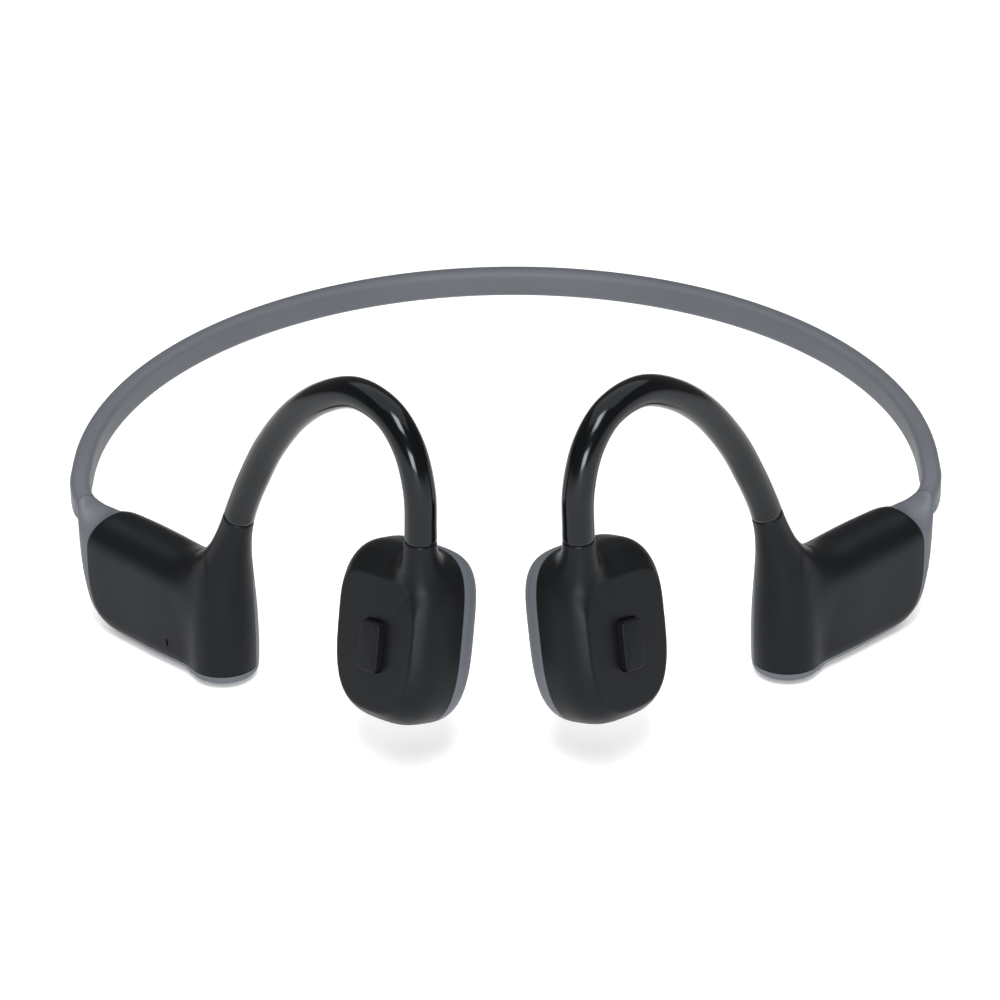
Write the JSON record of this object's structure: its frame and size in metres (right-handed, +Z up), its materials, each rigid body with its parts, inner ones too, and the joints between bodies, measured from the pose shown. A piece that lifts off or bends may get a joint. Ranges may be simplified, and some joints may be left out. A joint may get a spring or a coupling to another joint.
{
  "type": "bone conduction headphones",
  "caption": "Open-ear bone conduction headphones: a flexible rear neckband joined by ear hooks to vibrating cheekbone pods, with press buttons and behind-ear housings.",
  "frame": {"origin": "on the plane the housings stand on, under the middle of the whole object", "axes": "+X towards the wearer's left, +Y towards the back of the band, +Z up; the pods point to -Y"},
  "size_m": [0.1278, 0.11, 0.0567],
  "materials": {
    "band_silicone": "satin grey silicone skin",
    "wire_metal": "memory alloy wire",
    "cable_jacket": "insulated cable",
    "shell_black": "satin black",
    "shell_grey": "satin grey",
    "hook_silicone": "glossy black silicone",
    "pad_silicone": "soft-touch",
    "button_cap": "satin black",
    "seal_foam": "closed-cell strip",
    "cell_foil": "foil pouch",
    "circuit_board": "green solder mask",
    "chip_black": "moulded",
    "tin_plate": "tin plate",
    "light_pipe": "clear",
    "contact_gold": "gold plate",
    "magnet": "nickel plate",
    "steel_dark": "plain",
    "copper": "enamelled copper wire",
    "spring_bronze": "spring bronze"
  },
  "bodies": {
    "band": {"headband_sleeve_centre": "band_silicone", "headband_wire": "wire_metal", "headband_cable": "cable_jacket"},
    "arm_left": {"headband_sleeve_left": "band_silicone", "housing_outer_shell_left": "shell_black", "housing_inner_shell_left": "shell_grey", "housing_seal_left": "seal_foam", "battery": "cell_foil", "battery_board": "circuit_board", "battery_foam": "seal_foam", "ear_hook_sleeve_left": "hook_silicone", "ear_hook_wire_left": "wire_metal", "ear_hook_cable_left": "cable_jacket", "pod_outer_shell_left": "shell_black", "pod_inner_shell_left": "shell_grey", "contact_pad_left": "pad_silicone", "button_switch_left": "tin_plate", "transducer_frame_left": "chip_black", "voice_coil_left": "copper", "suspension_spring_left": "spring_bronze"},
    "arm_right": {"headband_sleeve_right": "band_silicone", "housing_outer_shell_right": "shell_black", "housing_inner_shell_right": "shell_grey", "housing_seal_right": "seal_foam", "main_board": "circuit_board", "main_board_screws": "tin_plate", "radio_shield": "tin_plate", "board_chips": "chip_black", "volume_switches": "tin_plate", "housing_microphone": "tin_plate", "status_light_pipe": "light_pipe", "charging_contacts": "contact_gold", "charging_magnets": "magnet", "ear_hook_sleeve_right": "hook_silicone", "ear_hook_wire_right": "wire_metal", "ear_hook_cable_right": "cable_jacket", "pod_outer_shell_right": "shell_black", "pod_inner_shell_right": "shell_grey", "contact_pad_right": "pad_silicone", "button_switch_right": "tin_plate", "transducer_frame_right": "chip_black", "voice_coil_right": "copper", "suspension_spring_right": "spring_bronze", "pod_microphone": "tin_plate"},
    "function_button_left": {"function_button_left": "button_cap"},
    "transducer_motor_left": {"transducer_yoke_left": "steel_dark", "transducer_magnet_left": "magnet", "transducer_pole_plate_left": "steel_dark"},
    "function_button_right": {"function_button_right": "button_cap"},
    "transducer_motor_right": {"transducer_yoke_right": "steel_dark", "transducer_magnet_right": "magnet", "transducer_pole_plate_right": "steel_dark"},
    "volume_up_button": {"volume_up_button": "shell_grey"},
    "volume_down_button": {"volume_down_button": "shell_grey"}
  },
  "joints": [
    {"name": "band_flex_left", "type": "hinge", "parent": "band", "child": "arm_left", "pos_m": [0.03031, 0.04905, 0.02884], "axis": [0, 0, 1], "range_deg": [-1, 40], "stiffness_Nm_per_rad": 0.9, "deforming": ["headband_wire", "headband_cable"]},
    {"name": "band_flex_right", "type": "hinge", "parent": "band", "child": "arm_right", "pos_m": [-0.03031, 0.04905, 0.02884], "axis": [0, 0, -1], "range_deg": [-1, 40], "stiffness_Nm_per_rad": 0.9},
    {"name": "function_button_left", "type": "slide", "parent": "arm_left", "child": "function_button_left", "axis": [-0.7071, 0.6645, -0.2418], "range_m": [0, 0.0003], "stiffness_N_per_m": 2500},
    {"name": "function_button_right", "type": "slide", "parent": "arm_right", "child": "function_button_right", "axis": [0.7071, 0.6645, -0.2418], "range_m": [0, 0.0003], "stiffness_N_per_m": 2500},
    {"name": "transducer_left", "type": "slide", "parent": "arm_left", "child": "transducer_motor_left", "axis": [0.7071, -0.6645, 0.2418], "range_m": [-0.00015, 0.00015], "stiffness_N_per_m": 900},
    {"name": "transducer_right", "type": "slide", "parent": "arm_right", "child": "transducer_motor_right", "axis": [-0.7071, -0.6645, 0.2418], "range_m": [-0.00015, 0.00015], "stiffness_N_per_m": 900},
    {"name": "volume_up_button", "type": "slide", "parent": "arm_right", "child": "volume_up_button", "axis": [0, 0, 1], "range_m": [0, 0.0002], "stiffness_N_per_m": 2500},
    {"name": "volume_down_button", "type": "slide", "parent": "arm_right", "child": "volume_down_button", "axis": [0, 0, 1], "range_m": [0, 0.0002], "stiffness_N_per_m": 2500}
  ]
}
